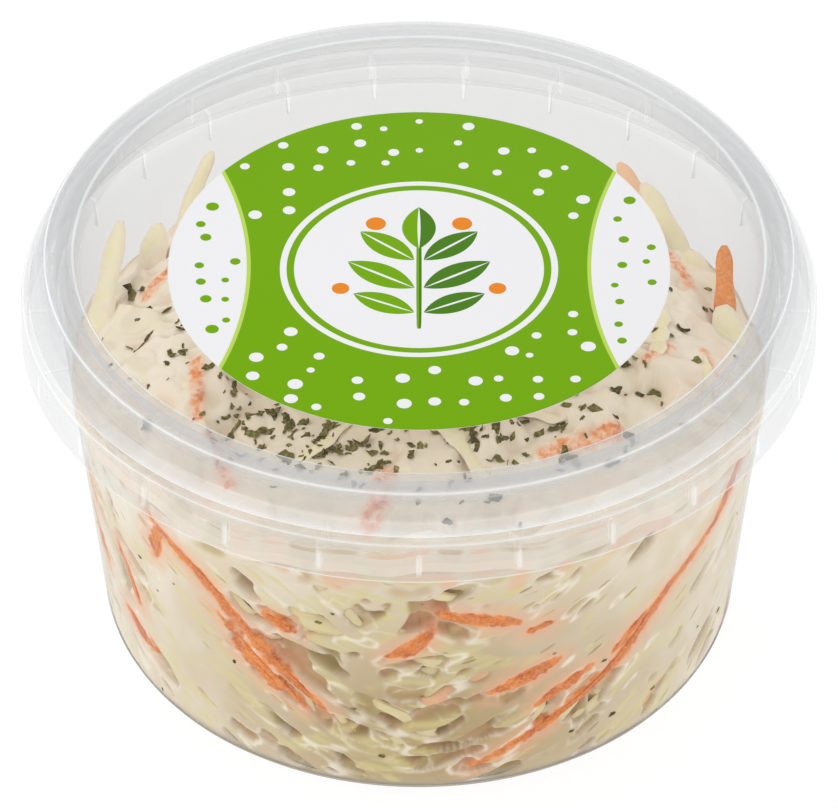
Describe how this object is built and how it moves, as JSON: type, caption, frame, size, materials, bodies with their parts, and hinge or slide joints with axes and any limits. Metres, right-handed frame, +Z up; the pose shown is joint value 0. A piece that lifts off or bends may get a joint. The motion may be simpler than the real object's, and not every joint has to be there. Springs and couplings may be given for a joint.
{
  "type": "tub of coleslaw",
  "caption": "Round clear deli tub filled with dressed cabbage and carrot slaw, with a ribbed collar, a clear press-on lid and a round label on the lid.",
  "frame": {"origin": "middle of the base, on the surface that the tub stands on", "axes": "+Z up through the middle of the lid; -Y is the front, from which the label reads upright"},
  "size_m": [0.1178, 0.118, 0.0685],
  "materials": {
    "clear_tub": "clear moulded polypropylene, faintly milky, smooth",
    "clear_lid": "clear moulded polypropylene, thin, faintly milky, smooth",
    "label_print": "satin label paper printed in green and white",
    "salad": "cream dressing over white cabbage and carrot shreds, wet and soft"
  },
  "bodies": {
    "root": {"tub": "clear_tub", "lid": "clear_lid", "label": "label_print", "coleslaw": "salad"}
  },
  "joints": []
}
